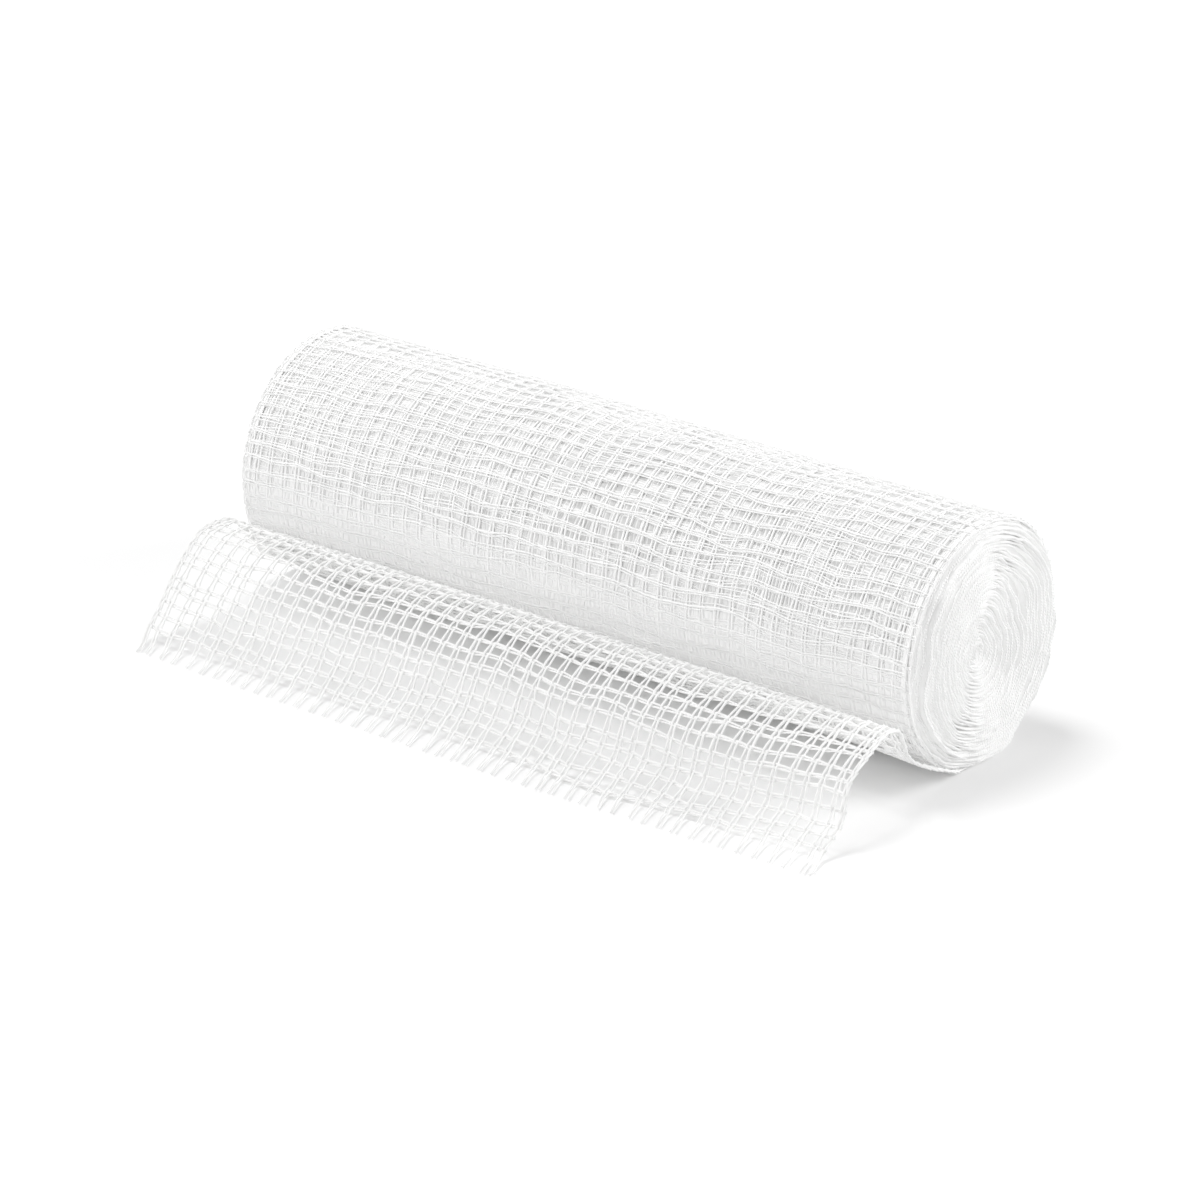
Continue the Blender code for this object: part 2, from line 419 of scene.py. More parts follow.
class Cloth:
    """The cloth's middle surface as a grid, read at any (x, s)."""

    X_STEP = 2.5
    S_STEP = 0.2
    INSIDE = 1.001  # steps from the grid's far side, just within its last cell

    def __init__(self):
        reach = HALF_WIDTH + 2 * self.X_STEP
        self.x = np.arange(-reach, reach + self.X_STEP / 2, self.X_STEP)
        lines = [cloth_line(x) for x in self.x]
        lengths = [np.linalg.norm(np.diff(line, axis=0), axis=1) for line, _ in lines]
        self.length = min(piece.sum() for piece in lengths)
        self.loose = np.mean([piece[:count].sum() for piece, (_, count) in zip(lengths, lines)])
        count = int(self.length / self.S_STEP)
        yz = np.stack([resampled(line, self.S_STEP, count) for line, _ in lines])
        x = np.repeat(self.x[:, None], count, axis=1)
        self.points = np.concatenate([x[..., None], yz], axis=2)
        across = np.gradient(self.points, axis=0)
        along = np.gradient(self.points, axis=1)
        normal = np.cross(across, along)
        self.normals = normal / np.linalg.norm(normal, axis=2, keepdims=True)

    def at(self, x, s, height=0.0):
        """Points at those places, raised by height along the cloth's normal, and the normals."""
        i = np.clip((x - self.x[0]) / self.X_STEP, 0, len(self.x) - self.INSIDE)
        j = np.clip(s / self.S_STEP, 0, self.points.shape[1] - self.INSIDE)
        i0 = i.astype(int)
        j0 = j.astype(int)
        u = (i - i0)[..., None]
        v = (j - j0)[..., None]

        def read(grid):
            near = grid[i0, j0] * (1 - v) + grid[i0, j0 + 1] * v
            far = grid[i0 + 1, j0] * (1 - v) + grid[i0 + 1, j0 + 1] * v
            return near * (1 - u) + far * u

        normal = read(self.normals)
        normal /= np.linalg.norm(normal, axis=-1, keepdims=True)
        return read(self.points) + normal * np.asarray(height)[..., None], normal


# ---------------------------------------------------------------- the weave


class Weave:
    """Where every warp thread crosses every weft thread."""

    def __init__(self, cloth):
        warps = [-place for place in reversed(SELVEDGE_THREADS)]
        for middle in np.linspace(-WARP_SPAN, WARP_SPAN, WARP_PAIRS):
            warps += [middle - WARP_GAP / 2, middle + WARP_GAP / 2]
        warps += SELVEDGE_THREADS
        wefts = []
        for middle in np.arange(FRINGE + WEFT_GAP, cloth.length - 1.0, WEFT_PITCH):
            wefts += [middle - WEFT_GAP / 2, middle + WEFT_GAP / 2]
        self.warp_x = np.array(warps)
        self.weft_s = np.array(wefts)
        x, s = np.meshgrid(self.warp_x, self.weft_s, indexing="ij")
        warp_index, weft_index = np.meshgrid(
            np.arange(len(warps)), np.arange(len(wefts)), indexing="ij"
        )
        warp_sway = waves(*WARP_SWAY)
        weft_sway = waves(*WEFT_SWAY)
        weft_wander = waves(*WEFT_WANDER)
        warp_wander = waves(*WARP_WANDER)
        pair_wander = waves(*PAIR_WANDER)
        edge = ease(HALF_WIDTH - np.abs(x), 0.0, STEADY_EDGE)
        warp_pair = APART * ((warp_index + 1) // 2)
        weft_pair = APART * (weft_index // 2)
        pair_sway = WARP_PAIR_SHARE * warp_sway(warp_pair + WARP_PAIR_PLACE, s)
        self.x = x + WARP_DRIFT * edge * (warp_sway(x, s) + pair_sway)
        self.x += THREAD_STRAY * warp_wander(APART * warp_index, s)
        pair_sway = WEFT_PAIR_SHARE * weft_sway(x, weft_pair + WEFT_PAIR_PLACE)
        self.s = s + WEFT_DRIFT * (weft_sway(x, s) + pair_sway)
        self.s += THREAD_STRAY * weft_wander(x, APART * weft_index)
        self.s += PAIR_STRAY * pair_wander(x, weft_pair)
        self.x += 0.5 * PAIR_STRAY * edge * pair_wander(warp_pair + WARP_STRAY_PLACE, s)
        self.wound = ease(self.s, cloth.loose + WOUND_FROM, cloth.loose + WOUND_FULL)
        in_pair = np.where((warp_index + 1) % 2 == 0, -1.0, 1.0)
        in_pair[np.abs(x) > WARP_SPAN + WARP_GAP] = 0.0
        self.x -= in_pair * 0.5 * WARP_GAP * (1.0 - self.changed_to(WOUND_PAIR))
        on_roll = ease(s, cloth.loose, cloth.loose + INSET_LENGTH)
        turn = np.maximum(s - cloth.loose, 0.0) / (math.tau * ROLL_RADIUS)
        self.x *= 1.0 - on_roll * (OUTER_INSET - INSET_STEP * turn) / HALF_WIDTH
        self.side = np.where((warp_index + weft_index) % 2 == 0, 1.0, -1.0)
        self.crimp = CRIMP * self.changed_to(WOUND_CRIMP) * self.side
        self.lift = WARP_LIFT * self.changed_to(WOUND_LIFT)

    def changed_to(self, wound_share):
        """1 on the loose end and that share in the wound turns."""
        return 1.0 + (wound_share - 1.0) * self.wound

    def first_weft_after(self, s):
        return int(np.searchsorted(self.weft_s, s))


def between(values, parts):
    """Values along the last axis with more put between each two, smoothly.

    parts says where, for each stretch in turn.
    """
    before_first = 2 * values[..., :1] - values[..., 1:2]
    after_last = 2 * values[..., -1:] - values[..., -2:-1]
    padded = np.concatenate([before_first, values, after_last], axis=-1)
    rows = []
    for k in range(values.shape[-1] - 1):
        before, start, end, after = (padded[..., k + n] for n in range(4))
        rows.append(start)
        for part in parts[k % len(parts)]:
            bend = 2 * before - 5 * start + 4 * end - after
            twist = 3 * (start - end) + after - before
            rows.append(start + 0.5 * part * (end - before + part * (bend + part * twist)))
    rows.append(values[..., -1])
    return np.stack(rows, axis=-1)


def eased_between(values, parts):
    """As between, but each stretch is level at its ends, as a thread over and under others."""
    rows = []
    for k in range(values.shape[-1] - 1):
        start = values[..., k]
        end = values[..., k + 1]
        rows.append(start)
        for part in parts[k % len(parts)]:
            rows.append(start + (end - start) * (0.5 - 0.5 * math.cos(math.pi * part)))
    rows.append(values[..., -1])
    return np.stack(rows, axis=-1)


def uneven_radius(seed, middle, shape):
    """Of a yarn that swells and thins along its length."""
    swell = waves(seed, *SWELL_WAVES)
    thread, ring = np.meshgrid(np.arange(shape[0]), np.arange(shape[1]), indexing="ij")
    uneven = swell(thread * YARN_APART, ring * YARN_STEP)
    return middle * (1.0 + SWELL * uneven + SLUB * np.maximum(uneven - SLUB_FROM, 0.0))


def warp_threads(cloth, weave, first, last, parts, fringe=False):
    """Centre lines, normals and radii of the warp threads between two wefts."""
    rows = slice(first, last + 1)
    x = between(weave.x[:, rows], parts)
    s = between(weave.s[:, rows], parts)
    height = eased_between(weave.crimp[:, rows], parts) + between(weave.lift[:, rows], parts)
    thickness = between(weave.changed_to(WOUND_WARP)[:, rows], parts)
    if fringe:
        rng = np.random.default_rng(FRINGE_SEED)
        count = len(weave.warp_x)
        tip = rng.normal(*TIP_PLACE, count) + SHORT_TIP * (rng.random(count) < SHORT_TIPS)
        lean = rng.normal(*LEAN, count)
        for part, fineness in FRINGE_PARTS:
            place = weave.s[:, :1] * (1 - part) + tip[:, None] * part
            x = np.concatenate([weave.x[:, :1] + (lean * part**LEAN_BEND)[:, None], x], axis=1)
            s = np.concatenate([place, s], axis=1)
            level = weave.crimp[:, :1] * (1 - part) + WARP_LIFT
            height = np.concatenate([level, height], axis=1)
            thickness = np.concatenate([0 * place + fineness, thickness], axis=1)
    points, normals = cloth.at(x, s, height)
    radius = uneven_radius(WARP_YARN_SEED + first, WARP_RADIUS, x.shape)
    return points, normals, thickness * radius


def with_end(rows, end, side):
    """The rows with one more value, before their first or after their last."""
    return np.concatenate([end, rows] if side < 0 else [rows, end], axis=1)


def weft_threads(cloth, weave, first, last, parts):
    """The same of the weft threads, each turned back at the selvedges to meet the next one."""
    rows = slice(first, last + 1)
    x = between(weave.x[:, rows].T, parts)
    s = between(weave.s[:, rows].T, parts)
    height = eased_between(-weave.crimp[:, rows].T, parts) - between(weave.lift[:, rows].T, parts)
    index = np.arange(first, last + 1)
    for side in (-1, 1):
        edge = 0 if side < 0 else -1
        with_next = (index % 2 == 0) == (side > 0)
        partner = np.clip(np.where(with_next, index + 1, index - 1), 0, weave.s.shape[1] - 1)
        middle = 0.5 * (weave.s[edge, index] + weave.s[edge, partner])
        for reach, part in LOOP_PARTS:
            far_x = (weave.x[edge, index] + side * LOOP_REACH * reach)[:, None]
            far_s = (weave.s[edge, index] * (1 - part) + middle * part)[:, None]
            level = -LOOP_CRIMP * (1 - part) * weave.crimp[edge, index] - weave.lift[edge, index]
            x = with_end(x, far_x, side)
            s = with_end(s, far_s, side)
            height = with_end(height, level[:, None], side)
    points, normals = cloth.at(x, s, height)
    thickness = weave.changed_to(WOUND_WEFT)[:1, rows].T
    radius = uneven_radius(WEFT_YARN_SEED + first, WEFT_RADIUS, x.shape)
    return points, normals, thickness * radius


# ---------------------------------------------------------------- meshes


def tube_mesh(points, normals, radii, sides):
    """Vertices, faces and UVs of one closed tube for each line of points."""
    threads, rings = radii.shape
    along = np.gradient(points, axis=1)
    along /= np.linalg.norm(along, axis=2, keepdims=True) + TINY
    across = np.cross(along, normals)
    across /= np.linalg.norm(across, axis=2, keepdims=True) + TINY
    up = np.cross(across, along)
    turn = np.arange(sides) * math.tau / sides
    offset = (
        up[:, :, None, :] * np.cos(turn)[None, None, :, None] * THREAD_FLATNESS
        + across[:, :, None, :] * np.sin(turn)[None, None, :, None]
    )
    shell = points[:, :, None, :] + offset * radii[:, :, None, None]
    caps = points[:, (0, -1), :]
    block = rings * sides + 2
    verts = np.concatenate([shell.reshape(threads, -1, 3), caps], axis=1).reshape(-1, 3)

    ring = np.arange(rings - 1)[:, None] * sides
    side = np.arange(sides)[None, :]
    after = (side + 1) % sides
    next_ring = ring + sides
    quads = np.stack([ring + side, ring + after, next_ring + after, next_ring + side], axis=-1)
    quads = quads.reshape(-1, 4)
    near = np.arange(sides)
    near_after = (near + 1) % sides
    start = rings * sides
    far = (rings - 1) * sides
    tips = np.concatenate(
        [
            np.stack([near_after, near, np.full(sides, start)], axis=1),
            np.stack([far + near, far + near_after, np.full(sides, start + 1)], axis=1),
        ]
    )
    shift = np.arange(threads)[:, None, None] * block
    quads = (quads[None] + shift).reshape(-1, 4)
    tips = (tips[None] + shift).reshape(-1, 3)

    run = np.cumsum(np.linalg.norm(np.diff(points, axis=1), axis=2), axis=1)
    run = np.concatenate([np.zeros((threads, 1)), run], axis=1)
    low = run[:, :-1, None] + 0 * side[None]
    high = run[:, 1:, None] + 0 * side[None]
    left = np.broadcast_to(side / sides, low.shape[1:])[None] + 0 * low
    right = left + 1.0 / sides
    quad_uv = np.stack(
        [
            np.stack([low, left], axis=-1),
            np.stack([low, right], axis=-1),
            np.stack([high, right], axis=-1),
            np.stack([high, left], axis=-1),
        ],
        axis=-2,
    ).reshape(-1, 2)
    tip_uv = np.zeros((tips.size, 2))
    return verts, quads, tips, np.concatenate([quad_uv, tip_uv])


def mesh_piece(name, verts, quads, tips, uv, material):
    mesh = bpy.data.meshes.new(name)
    mesh.from_pydata((verts * MM).tolist(), [], quads.tolist() + tips.tolist())
    layer = mesh.uv_layers.new(name="run")
    layer.data.foreach_set("uv", uv.astype(np.float32).ravel())
    mesh.shade_smooth()
    mesh.materials.append(material)
    piece = bpy.data.objects.new(name, mesh)
    bpy.context.scene.collection.objects.link(piece)
    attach(piece, "root")
    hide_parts(NODE)
    return piece


def joined(parts):
    """Several tube meshes as one."""
    verts, quads, tips, quad_uv, tip_uv = [], [], [], [], []
    count = 0
    for part_verts, part_quads, part_tips, part_uv in parts:
        verts.append(part_verts)
        quads.append(part_quads + count)
        tips.append(part_tips + count)
        quad_uv.append(part_uv[: part_quads.size])
        tip_uv.append(part_uv[part_quads.size :])
        count += len(part_verts)
    uv = np.concatenate(quad_uv + tip_uv)
    return np.concatenate(verts), np.concatenate(quads), np.concatenate(tips), uv


# ---------------------------------------------------------------- materials


def new_material(name):
    material = bpy.data.materials.new(name)
    material.use_nodes = True
    tree = material.node_tree
    return material, tree, tree.nodes["Principled BSDF"]


def math_node(tree, operation, first, second=None):
    node = tree.nodes.new("ShaderNodeMath")
    node.operation = operation
    for socket, value in zip(node.inputs, (first, second)):
        if value is None:
            continue
        if isinstance(value, (int, float)):
            socket.default_value = value
        else:
            tree.links.new(value, socket)
    return node.outputs[0]


def noise_node(tree, vector, scale, detail):
    node = tree.nodes.new("ShaderNodeTexNoise")
    node.inputs["Scale"].default_value = scale
    node.inputs["Detail"].default_value = detail
    tree.links.new(vector, node.inputs["Vector"])
    return node


def shade_between(tree, value, start, end, dark, white):
    """The dark colour up to start, the white one from end on and a blend between."""
    node = tree.nodes.new("ShaderNodeValToRGB")
    first, last = node.color_ramp.elements
    first.position = start
    first.color = dark
    last.position = end
    last.color = white
    tree.links.new(value, node.inputs["Fac"])
    return node.outputs["Color"]


def bump_node(tree, height, strength, depth):
    node = tree.nodes.new("ShaderNodeBump")
    node.inputs["Strength"].default_value = strength
    node.inputs["Distance"].default_value = depth
    tree.links.new(height, node.inputs["Height"])
    return node.outputs["Normal"]


def cotton_material(name, shaded, white, through=0.0, scale=FIBRE_SCALE, depth=FIBRE_DEPTH):
    """Bleached yarn: a fine twist, loose fibres and slight changes of white along it.

    through is the share of the light that goes on through the fibres.
    """
    material, tree, shader = new_material(name)
    links = tree.links
    place = tree.nodes.new("ShaderNodeTexCoord")
    split = tree.nodes.new("ShaderNodeSeparateXYZ")
    links.new(place.outputs["UV"], split.inputs[0])
    lay = math_node(tree, "MULTIPLY", split.outputs[0], TWIST)
    turn = math_node(tree, "ADD", lay, math_node(tree, "MULTIPLY", split.outputs[1], PLIES))
    twist = math_node(tree, "SINE", math_node(tree, "MULTIPLY", turn, math.tau))
    fibres = noise_node(tree, place.outputs["Object"], scale, FIBRE_DETAIL).outputs["Fac"]
    patches = noise_node(tree, place.outputs["Object"], PATCH_SCALE, PATCH_DETAIL).outputs["Fac"]

    dark_colour = (shaded, shaded, shaded * BLUE, 1.0)
    white_colour = (white, white, white * BLUE, 1.0)
    colour = shade_between(tree, patches, *PATCH_RANGE, dark_colour, white_colour)
    links.new(colour, shader.inputs["Base Color"])

    rough = tree.nodes.new("ShaderNodeMapRange")
    rough.inputs["To Min"].default_value, rough.inputs["To Max"].default_value = FIBRE_ROUGHNESS
    links.new(fibres, rough.inputs["Value"])
    links.new(rough.outputs["Result"], shader.inputs["Roughness"])

    relief = math_node(tree, "ADD", math_node(tree, "MULTIPLY", twist, TWIST_RELIEF), fibres)
    normal = bump_node(tree, relief, FIBRE_STRENGTH, depth)
    links.new(normal, shader.inputs["Normal"])
    shader.inputs["Sheen Weight"].default_value = SHEEN
    shader.inputs["Sheen Roughness"].default_value = SHEEN_ROUGHNESS
    shader.inputs["Specular IOR Level"].default_value = SPECULAR
    if through:
        lit_behind = tree.nodes.new("ShaderNodeBsdfTranslucent")
        links.new(colour, lit_behind.inputs["Color"])
        links.new(normal, lit_behind.inputs["Normal"])
        both = tree.nodes.new("ShaderNodeMixShader")
        both.inputs["Fac"].default_value = through
        links.new(shader.outputs["BSDF"], both.inputs[1])
        links.new(lit_behind.outputs["BSDF"], both.inputs[2])
        links.new(both.outputs["Shader"], tree.nodes["Material Output"].inputs["Surface"])
    return material


def smooth_step(tree, value, start, end, before, after):
    """The value before up to start, after from end on and a smooth change between."""
    node = tree.nodes.new("ShaderNodeMapRange")
    node.interpolation_type = "SMOOTHSTEP"
    node.inputs["From Min"].default_value = start
    node.inputs["From Max"].default_value = end
    node.inputs["To Min"].default_value = before
    node.inputs["To Max"].default_value = after
    tree.links.new(value, node.inputs["Value"])
    return node.outputs["Result"]


def thread_pattern(tree, position, pitch, gap, width):
    """1 on a pair of threads of a set that repeats every pitch, 0 in the holes, with soft sides."""
    phase = math_node(tree, "FRACT", math_node(tree, "DIVIDE", position, pitch))
    middle = math_node(tree, "ABSOLUTE", math_node(tree, "SUBTRACT", phase, 0.5))
    pair = math_node(tree, "ABSOLUTE", math_node(tree, "SUBTRACT", middle, gap / 2.0 / pitch))
    return smooth_step(tree, pair, 0.0, width / pitch, 1.0, 0.0)


def arc(angle):
    """The length round the roll of that many degrees."""
    return math.radians(angle) * ROLL_RADIUS


def hole_shade_lift(tree, along, across):
    """How far the holes' painted shade is hidden at a place along the roll and round it, painting
    the top and the left-hand end lighter.
    """
    begins, full, until, ends = (arc(angle) for angle in WHITE_ANGLES)
    closing = smooth_step(tree, across, begins, full, 0.0, WHITE_FRONT)
    opening = smooth_step(tree, across, until, ends, 1.0, WHITE_BELOW)
    front = math_node(tree, "MULTIPLY", closing, opening)
    begins, full = WHITE_TOP_ANGLES
    top = smooth_step(tree, across, arc(full), arc(begins), WHITE_TOP, 0.0)
    begins, full = WHITE_END_PLACES
    end = smooth_step(tree, along, full, begins, WHITE_END, 0.0)
    return math_node(tree, "MAXIMUM", math_node(tree, "MAXIMUM", front, top), end)


def wound_material():
    """The turns under the two outermost ones, seen through their holes: more gauze, out of step,
    with painted shade in its holes.
    """
    material, tree, shader = new_material("wound_gauze")
    links = tree.links
    place = tree.nodes.new("ShaderNodeTexCoord")
    split = tree.nodes.new("ShaderNodeSeparateXYZ")
    links.new(place.outputs["UV"], split.inputs[0])
    sway = noise_node(tree, place.outputs["UV"], WOUND_SWAY_SCALE, detail=1.0)
    wander = tree.nodes.new("ShaderNodeSeparateColor")
    links.new(sway.outputs["Color"], wander.inputs[0])
    sway_x = math_node(tree, "MULTIPLY", wander.outputs[0], WOUND_SWAY)
    sway_s = math_node(tree, "MULTIPLY", wander.outputs[1], WOUND_SWAY)
    heights = []
    for shift, lean, height in WOUND_LAYERS:
        across = math_node(tree, "ADD", split.outputs[0], shift)
        leaning = math_node(tree, "MULTIPLY", split.outputs[1], lean)
        across = math_node(tree, "ADD", across, leaning)
        across = math_node(tree, "ADD", across, sway_x)
        along = math_node(tree, "ADD", split.outputs[1], shift * WOUND_SHIFT_ALONG)
        along = math_node(tree, "ADD", along, sway_s)
        warp = thread_pattern(tree, across, WARP_PITCH, WARP_GAP, WOUND_SIDE)
        weft = thread_pattern(tree, along, WEFT_PITCH, WEFT_GAP, WOUND_SIDE)
        both = math_node(tree, "MAXIMUM", warp, weft)
        heights.append(math_node(tree, "MULTIPLY", both, height))
    relief = math_node(tree, "MAXIMUM", *heights)
    white = hole_shade_lift(tree, split.outputs[0], split.outputs[1])
    seen = math_node(tree, "MAXIMUM", relief, white)
    # Painted shade: dark in the holes and greyer on the lower layer, less where the mask lifts it.
    colour = shade_between(tree, seen, 0.0, 1.0, WOUND_HOLE_SHADE, WOUND_WHITE)
    links.new(colour, shader.inputs["Base Color"])
    links.new(bump_node(tree, relief, 1.0, WOUND_DEPTH), shader.inputs["Normal"])
    shader.inputs["Roughness"].default_value = WOUND_ROUGHNESS
    shader.inputs["Specular IOR Level"].default_value = WOUND_SPECULAR
    return material


# ---------------------------------------------------------------- the pieces of the roll


def body_depth(angle):
    start, full, until, end = TIGHT_ANGLES
    tight = ease(angle, start, full) * (1.0 - ease(angle, until, end))
    return BODY_DEPTH + (TIGHT_DEPTH - BODY_DEPTH) * tight


def wound_body(material):
    """What is under the two outermost turns, closed a little way inside both ends."""
    end = HALF_WIDTH - END_DEPTH
    between_rims = np.linspace(-end + BODY_RIM, end - BODY_RIM, BODY_STATIONS)
    stations = np.concatenate([[-end], between_rims, [end]])
    angles = np.radians(np.arange(0.0, 360.0, BODY_ANGLE))
    degrees = np.degrees(angles)
    grid = []
    for number, x in enumerate(stations):
        inset = BODY_ROUND if number in (0, len(stations) - 1) else 0.0
        wind = (degrees + 90.0 + leave_angle(x)) % 360.0
        depth = body_depth(degrees) + LAYER_STEP * wind / 360.0 + inset
        radius = ROLL_RADIUS - depth + ripple(x, angles)
        y = radius * np.cos(angles)
        z = np.maximum(AXIS_HEIGHT + radius * np.sin(angles), REST_HEIGHT + depth)
        grid.append(np.stack([np.full(len(angles), x), y, z], axis=1))
    middles = np.array([[-end, 0.0, AXIS_HEIGHT], [end, 0.0, AXIS_HEIGHT]])
    verts = np.concatenate(grid + [middles])
    count = len(angles)
    quads, quad_uv, tips = [], [], []
    for line, (low, high) in enumerate(zip(stations, stations[1:])):
        near = line * count
        far = near + count
        for side in range(count):
            after = (side + 1) % count
            start = side * BODY_ANGLE / 360.0 * math.tau * ROLL_RADIUS
            stop = (side + 1) * BODY_ANGLE / 360.0 * math.tau * ROLL_RADIUS
            quads.append((far + side, far + after, near + after, near + side))
            quad_uv += [(high, start), (high, stop), (low, stop), (low, start)]
    last = (len(stations) - 1) * count
    for side in range(count):
        after = (side + 1) % count
        tips.append((len(verts) - 2, side, after))
        tips.append((len(verts) - 1, last + after, last + side))
    tips = np.array(tips)
    uv = np.concatenate([quad_uv, np.zeros((tips.size, 2))])
    return mesh_piece("wound_body", verts, np.array(quads), tips, uv, material)


def crack_width(cracks, angle):
    """How far the turns have come apart there at that angle, through all the cracks together."""
    width = 0.0
    for crack in cracks:
        off = (angle - crack.middle + 180.0) % 360.0 - 180.0
        closed = ease(np.abs(off), CRACK_FULL * crack.reach, crack.reach)
        width = width + crack.width * (1.0 - closed)
    return width


def spiral(cracks):
    """Places along the turns' edges: turns in, angle, radius and turns to the nearest crack."""
    turn_step = ROLL_RADIUS / END_TURNS
    turns = [END_FIRST]
    while turns[-1] < END_TURNS - CORE_TURNS:
        radius = ROLL_RADIUS - turn_step * turns[-1]
        turns.append(turns[-1] + END_STEP / math.tau / max(radius, SMALLEST_RADIUS))
    turn = np.array(turns)
    phi = math.tau * turn - math.radians(90.0 + LEAVE_RIGHT)
    angle = np.degrees(phi) % 360.0
    opened = 0.0
    total = 0.0
    near_crack = np.full(len(turn), NO_CRACK)
    for place in sorted({crack.turn for crack in cracks}):
        width = crack_width([crack for crack in cracks if crack.turn == place], angle)
        total = total + width
        opened = opened + width * ease(turn, place - 0.5, place + 0.5)
        closed = 1.0 - np.clip(width / GROOVE_WIDTH, 0.0, 1.0)
        near_crack = np.minimum(near_crack, np.abs(turn - place) + GROOVE_END * closed)
    radius = ROLL_RADIUS - turn * (turn_step - total / END_TURNS) - opened
    return turn, phi, radius, near_crack


def ribbon_mesh(side, centre, outward, edge):
    """Vertices, faces and UVs of the turns' edges, from inside the roll out to their rim."""
    inside = np.full(len(edge), side * (HALF_WIDTH - END_DEPTH - END_FOOT))
    across = np.zeros((len(centre), 4, 3))
    across[:, :, 0] = np.stack([inside, inside, edge, edge], axis=1)
    corners = centre[:, None] + across
    corners += outward[:, None] * RIBBON_HALF * np.array([-1, 1, 1, -1])[None, :, None]
    rings = len(centre)
    ring = np.arange(rings - 1)[:, None] * 4
    corner = np.arange(4)[None, :]
    after = (corner + 1) % 4
    quads = np.stack([ring + corner, ring + after, ring + 4 + after, ring + 4 + corner], axis=-1)
    quads = quads.reshape(-1, 4)
    last = (rings - 1) * 4
    tips = [[2, 1, 0], [3, 2, 0], [last, last + 1, last + 2], [last, last + 2, last + 3]]
    tips = np.array(tips)
    if side < 0:
        quads = quads[:, ::-1]
        tips = tips[:, ::-1]
    return corners.reshape(-1, 3), quads, tips, np.zeros((quads.size + tips.size, 2))


def end_turns(side, material, cracks, seed):
    """The turns' edges at one end: a spiral ribbon with a selvedge thread along its rim."""
    lumps = waves(seed + 1, *LUMP_WAVES)
    slip = waves(seed + 2, *SLIP_WAVES)
    wobble = waves(seed + 3, *WOBBLE_WAVES)
    flutter = waves(seed + 4, *FLUTTER_WAVES)
    turn, phi, radius, near_crack = spiral(cracks)
    inner = np.clip(1.0 - (radius / ROLL_RADIUS) ** 2, 0.0, 1.0)
    run = np.cumsum(np.concatenate([[0.0], np.diff(turn) * math.tau * radius[1:]]))
    y0 = radius * np.cos(phi)
    z0 = radius * np.sin(phi)
    core_y = CORE_Y + CORE_LUMPS * lumps(y0, z0)
    core_z = CORE_Z + CORE_LUMPS * lumps(z0 + LUMP_Z_PLACE, y0)
    y = y0 * (1.0 - CORE_OVAL * inner) + inner * core_y
    z = z0 * (1.0 + CORE_OVAL * inner) + inner * core_z
    y = y + TURN_WOBBLE * wobble(run, WOBBLE_APART * turn)
    z = z + TURN_WOBBLE * wobble(run + WOBBLE_Z_PLACE, WOBBLE_APART * turn)
    z = np.maximum(AXIS_HEIGHT + z, REST_HEIGHT + (ROLL_RADIUS - radius) * PRESSED)

    rim = RIM_DEPTH * np.clip(1.0 - turn / RIM_TURNS, 0.0, 1.0) ** RIM_BEND
    rim *= 1.0 - RIM_FLAT * ease(np.cos(phi - math.radians(RIM_FLAT_ANGLE)), *RIM_FLAT_REACH)
    groove = GROOVE_DEPTH * (1.0 - ease(near_crack, 0.0, GROOVE_TURNS))
    slipped = END_SLIP * slip(turn * SLIP_APART, phi * SLIP_ROUND)
    lumpy = END_LUMPS * lumps(y0 * END_LUMP_SCALE + END_LUMP_PLACE, z0 * END_LUMP_SCALE)
    edge = HALF_WIDTH - END_BACK - rim - groove + slipped
    edge += END_FLUTTER * flutter(run, FLUTTER_APART * turn) + lumpy
    edge = side * np.minimum(edge, HALF_WIDTH + END_FRONT)

    centre = np.stack([np.zeros(len(y)), y, z], axis=1)
    tangent = np.gradient(centre, axis=0)
    tangent /= np.linalg.norm(tangent, axis=1, keepdims=True)
    outward = np.stack([np.zeros(len(y)), tangent[:, 2], -tangent[:, 1]], axis=1)
    thread = centre + np.stack([edge, 0 * y, 0 * y], axis=1)
    phase = np.random.default_rng(seed).uniform(0, 3)
    pulse = np.abs(np.sin(run * math.pi / BULGE_EVERY + BULGE_SHIFT * turn + phase))
    uneven = EDGE_UNEVEN * wobble(run * UNEVEN_SCALE, turn)
    radii = EDGE_THREAD * (EDGE_THINNEST + EDGE_BULGE * pulse**BULGE_POWER + uneven)
    tube = tube_mesh(thread[None], outward[None], radii[None], SIDES)
    name = "end_turns_right" if side > 0 else "end_turns_left"
    parts = [ribbon_mesh(side, centre, outward, edge), tube]
    return mesh_piece(name, *joined(parts), material)


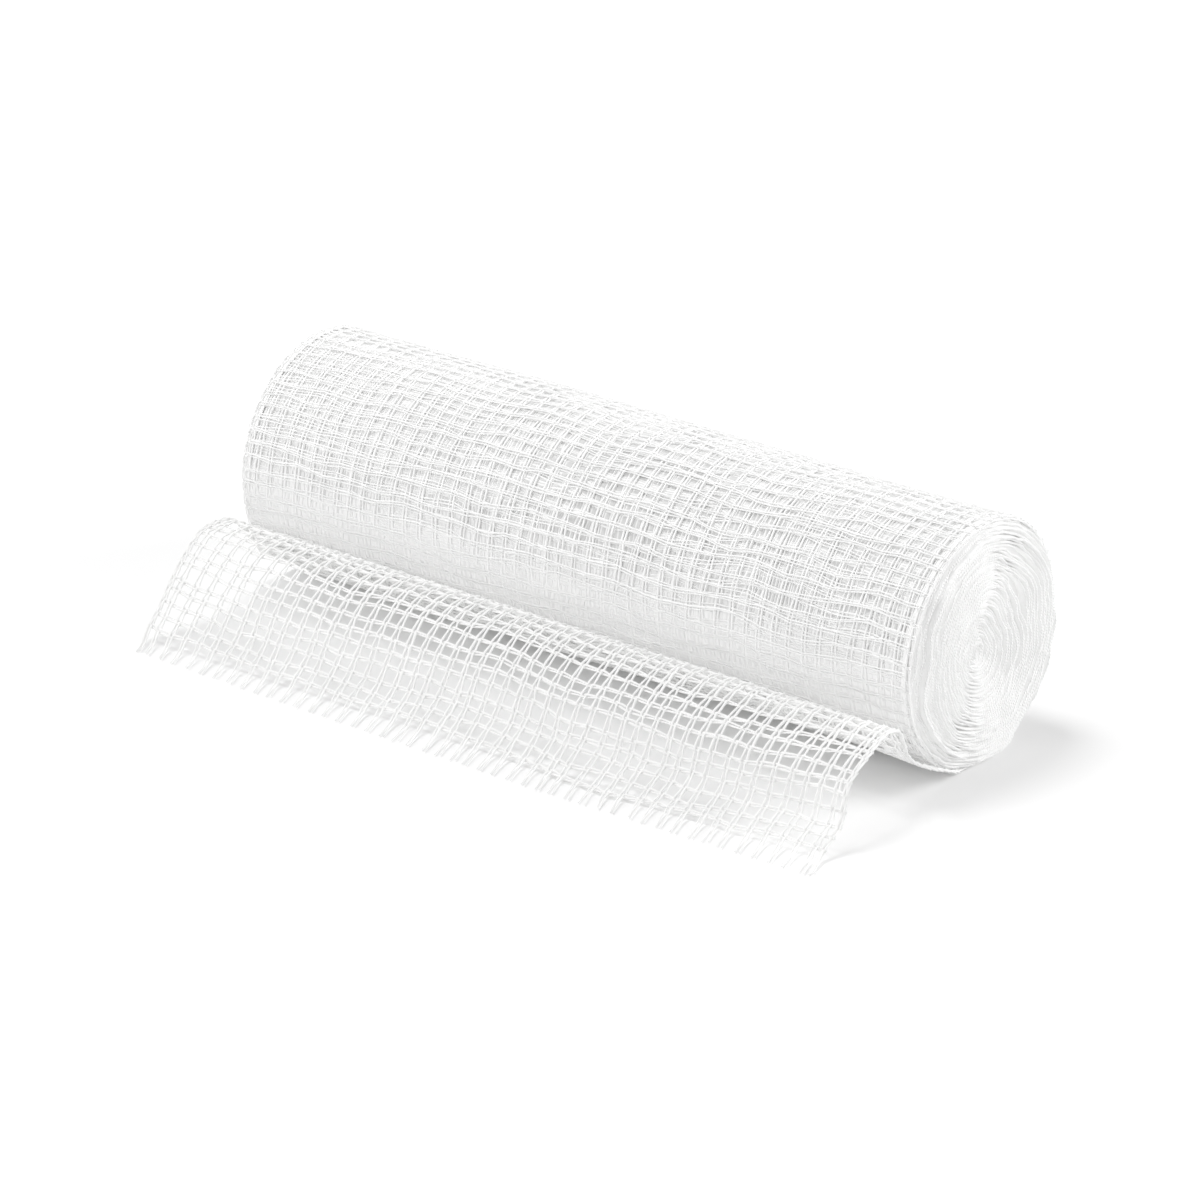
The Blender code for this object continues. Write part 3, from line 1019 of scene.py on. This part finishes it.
def build_cloth(yarn, warp_yarn, weft_yarn, under_yarn):
    cloth = Cloth()
    weave = Weave(cloth)
    turn_length = math.tau * (ROLL_RADIUS - LAYER_STEP / 2)
    leaves = weave.first_weft_after(cloth.loose + LOOSE_MORE)
    once_round = weave.first_weft_after(cloth.loose + turn_length + TURN_MORE)
    twice_round = weave.first_weft_after(cloth.loose + TURNS_SHOWN * turn_length - SECOND_LESS)
    leaves += leaves % 2
    once_round += once_round % 2
    twice_round = min(twice_round + twice_round % 2, len(weave.weft_s) - 1)

    loose = joined(
        [
            tube_mesh(*warp_threads(cloth, weave, 0, leaves, FINE, fringe=True), SIDES),
            tube_mesh(*weft_threads(cloth, weave, 0, leaves - 1, FINE), SIDES),
        ]
    )
    loose_end = mesh_piece("loose_end", *loose, yarn)
    warp = tube_mesh(*warp_threads(cloth, weave, leaves, once_round, PLAIN), SIDES)
    mesh_piece("outer_turn_warp", *warp, warp_yarn)
    weft = tube_mesh(*weft_threads(cloth, weave, leaves, once_round - 1, PLAIN), SIDES)
    mesh_piece("outer_turn_weft", *weft, weft_yarn)
    warp = tube_mesh(*warp_threads(cloth, weave, once_round, twice_round, COARSE), SECOND_SIDES)
    weft_rings = weft_threads(cloth, weave, once_round, twice_round - 1, COARSE)
    under = joined([warp, tube_mesh(*weft_rings, SECOND_SIDES)])
    mesh_piece("second_turn", *under, under_yarn)


# ---------------------------------------------------------------- floor, light and camera


def heading(azimuth, elevation):
    """The direction from the object."""
    azimuth = math.radians(azimuth)
    elevation = math.radians(elevation)
    x = math.sin(azimuth) * math.cos(elevation)
    y = -math.cos(azimuth) * math.cos(elevation)
    return Vector((x, y, math.sin(elevation)))


def add_floor():
    mesh = bpy.data.meshes.new("floor")
    low, high = -FLOOR_HALF, FLOOR_HALF
    corners = [(low, low, 0), (high, low, 0), (high, high, 0), (low, high, 0)]
    mesh.from_pydata(corners, [], [(0, 1, 2, 3)])
    material, _, shader = new_material("pale_floor")
    shader.inputs["Base Color"].default_value = (FLOOR_GREY, FLOOR_GREY, FLOOR_GREY, 1.0)
    shader.inputs["Roughness"].default_value = 1.0
    shader.inputs["Specular IOR Level"].default_value = 0.0
    mesh.materials.append(material)
    floor = bpy.data.objects.new("floor", mesh)
    bpy.context.scene.collection.objects.link(floor)


def add_softbox(softbox):
    """A round softbox a metre away."""
    light = bpy.data.lights.new(softbox.name, "AREA")
    light.shape = "DISK"
    light.size = softbox.size
    light.energy = softbox.power
    lamp = bpy.data.objects.new(softbox.name, light)
    towards = heading(softbox.azimuth, softbox.elevation)
    lamp.location = towards
    lamp.rotation_euler = (-towards).to_track_quat("-Z", "Y").to_euler()
    bpy.context.scene.collection.objects.link(lamp)


def add_light():
    world = bpy.data.worlds.new("studio")
    world.use_nodes = True
    background = world.node_tree.nodes["Background"]
    background.inputs["Color"].default_value = (1.0, 1.0, 1.0, 1.0)
    background.inputs["Strength"].default_value = WORLD_STRENGTH
    bpy.context.scene.world = world
    for softbox in SOFTBOXES:
        add_softbox(softbox)


def add_camera():
    data = bpy.data.cameras.new("camera")
    data.sensor_width = CAMERA_SENSOR
    data.lens = CAMERA_LENS
    camera = bpy.data.objects.new("camera", data)
    back = heading(CAMERA_AZIMUTH, CAMERA_ELEVATION)
    camera.location = Vector(CAMERA_TARGET) + back * CAMERA_DISTANCE
    camera.rotation_euler = (-back).to_track_quat("-Z", "Y").to_euler()
    bpy.context.scene.collection.objects.link(camera)
    bpy.context.scene.camera = camera


def main():
    bpy.context.scene.view_settings.view_transform = "Standard"
    bpy.context.scene.view_settings.gamma = VIEW_GAMMA
    bpy.context.scene.cycles.diffuse_bounces = DIFFUSE_BOUNCES
    add_camera()
    add_light()
    add_floor()
    loose_yarn = cotton_material("single_layer_yarn", shaded=0.94, white=0.98, through=0.25)
    warp_yarn = cotton_material("outer_warp_yarn", shaded=0.94, white=0.985)
    # Painted shade: the wefts, which lie under the warps, get a darker copy of the same cotton.
    weft_yarn = cotton_material("outer_weft_yarn_painted_shade", shaded=0.88, white=0.93)
    # Painted shade: the second turn, under the outermost one, gets a darker copy of the same
    # cotton.
    under_yarn = cotton_material("inner_yarn_painted_shade", shaded=0.90, white=0.94)
    end_yarn = cotton_material(
        "selvedge_yarn", shaded=0.91, white=0.96, scale=SELVEDGE_SCALE, depth=SELVEDGE_DEPTH
    )
    wound_body(wound_material())
    build_cloth(loose_yarn, warp_yarn, weft_yarn, under_yarn)
    end_turns(1, end_yarn, RIGHT_CRACKS, seed=101)
    end_turns(-1, end_yarn, LEFT_CRACKS, seed=202)


main()
